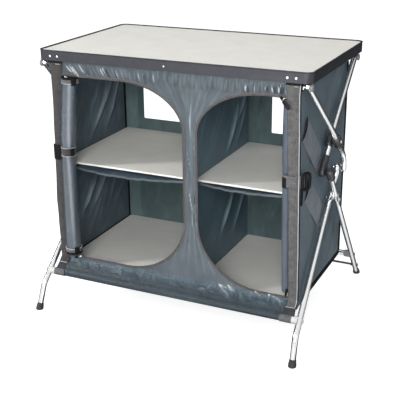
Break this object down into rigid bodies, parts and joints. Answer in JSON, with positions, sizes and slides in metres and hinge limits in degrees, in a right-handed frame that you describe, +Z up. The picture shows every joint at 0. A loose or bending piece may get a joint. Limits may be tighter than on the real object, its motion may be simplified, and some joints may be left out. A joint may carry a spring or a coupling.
{
  "type": "folding kitchen cupboard",
  "caption": "Camp kitchen cupboard: table top on folding scissor legs, with a cloth cupboard, shelves, arched doors and rear windows under it.",
  "frame": {"origin": "on the floor, midway between the four feet", "axes": "+X along the length to the object's right as seen from its front, +Y to the back, +Z up"},
  "size_m": [0.878, 0.6805, 0.8],
  "materials": {
    "laminate": "pale matt laminate",
    "edge": "dark grey satin paint",
    "tube": "bright satin",
    "dark_plastic": "fine texture",
    "pale_plastic": "satin",
    "steel": "zinc plated",
    "rod": "grey paint",
    "rubber": "matt",
    "board": "grey laminate",
    "cloth": "woven polyester"
  },
  "bodies": {
    "table": {"back_panel": "cloth", "centre_screw": "steel", "divider": "cloth", "door_roll_left": "cloth", "door_roll_right": "cloth", "edge_frame": "edge", "edge_rivet_1": "steel", "edge_rivet_2": "steel", "edge_rivet_3": "steel", "edge_rivet_4": "steel", "front_clip_left": "dark_plastic", "front_clip_right": "dark_plastic", "front_panel": "cloth", "rear_hook_left": "dark_plastic", "rear_hook_right": "dark_plastic", "side_pocket_lower": "cloth", "side_pocket_upper": "cloth", "side_wall_left": "cloth", "side_wall_right": "cloth", "top_panel": "laminate"},
    "upper_front": {"front_top_tube": "tube", "upper_block_outer_left": "dark_plastic", "upper_block_outer_right": "dark_plastic", "upper_front_bar_left": "tube", "upper_front_bar_right": "tube"},
    "upper_rear": {"grip_inner_left": "dark_plastic", "grip_inner_right": "dark_plastic", "rear_top_tube": "tube", "upper_block_inner_left": "dark_plastic", "upper_block_inner_right": "dark_plastic", "upper_bolt_left": "steel", "upper_bolt_right": "steel", "upper_rear_bar_left": "tube", "upper_rear_bar_right": "tube"},
    "rear_legs": {"grip_outer_left": "dark_plastic", "grip_outer_right": "dark_plastic", "lower_plate_left": "steel", "lower_plate_right": "steel", "rear_foot_left": "rubber", "rear_foot_right": "rubber", "rear_leg_left": "tube", "rear_leg_right": "tube", "rear_rail": "tube", "rear_rod": "rod", "rear_socket_left": "pale_plastic", "rear_socket_right": "pale_plastic"},
    "front_legs": {"front_foot_left": "rubber", "front_foot_right": "rubber", "front_leg_left": "tube", "front_leg_right": "tube", "front_rail": "tube", "front_socket_left": "pale_plastic", "front_socket_right": "pale_plastic", "lower_bolt_left": "steel", "lower_bolt_right": "steel"},
    "mid_shelves": {"mid_shelf_left": "board", "mid_shelf_right": "board"},
    "bottom_shelves": {"bottom_shelf_left": "board", "bottom_shelf_right": "board"}
  },
  "joints": [
    {"name": "side_fold", "type": "hinge", "parent": "table", "child": "upper_front", "pos_m": [0, -0.22376, 0.76], "axis": [1, 0, 0], "range_deg": [0, 37], "deforming": ["side_wall_left", "side_wall_right", "divider", "front_panel", "back_panel", "door_roll_left", "door_roll_right", "side_pocket_upper", "side_pocket_lower"]},
    {"name": "upper_pivot", "type": "hinge", "parent": "upper_front", "child": "upper_rear", "pos_m": [0, -0.00676, 0.55982], "axis": [1, 0, 0], "range_deg": [-74, 0]},
    {"name": "front_knee", "type": "hinge", "parent": "upper_rear", "child": "rear_legs", "pos_m": [0, -0.0671, 0.48259], "axis": [1, 0, 0], "range_deg": [0, 74]},
    {"name": "rear_knee", "type": "hinge", "parent": "upper_front", "child": "front_legs", "pos_m": [0, 0.07573, 0.45423], "axis": [1, 0, 0], "range_deg": [-74, 0]},
    {"name": "mid_shelf_rise", "type": "slide", "parent": "table", "child": "mid_shelves", "axis": [0, 0, 1], "range_m": [0, 0.25709]},
    {"name": "bottom_shelf_rise", "type": "slide", "parent": "table", "child": "bottom_shelves", "axis": [0, 0, 1], "range_m": [0, 0.53012]}
  ],
  "couplings": [
    {"joint": "upper_pivot", "follows": "side_fold", "ratio": -2},
    {"joint": "front_knee", "follows": "side_fold", "ratio": 2},
    {"joint": "rear_knee", "follows": "side_fold", "ratio": -2},
    {"joint": "mid_shelf_rise", "follows": "side_fold", "m_per_rad": 0.3981},
    {"joint": "bottom_shelf_rise", "follows": "side_fold", "m_per_rad": 0.8209}
  ]
}
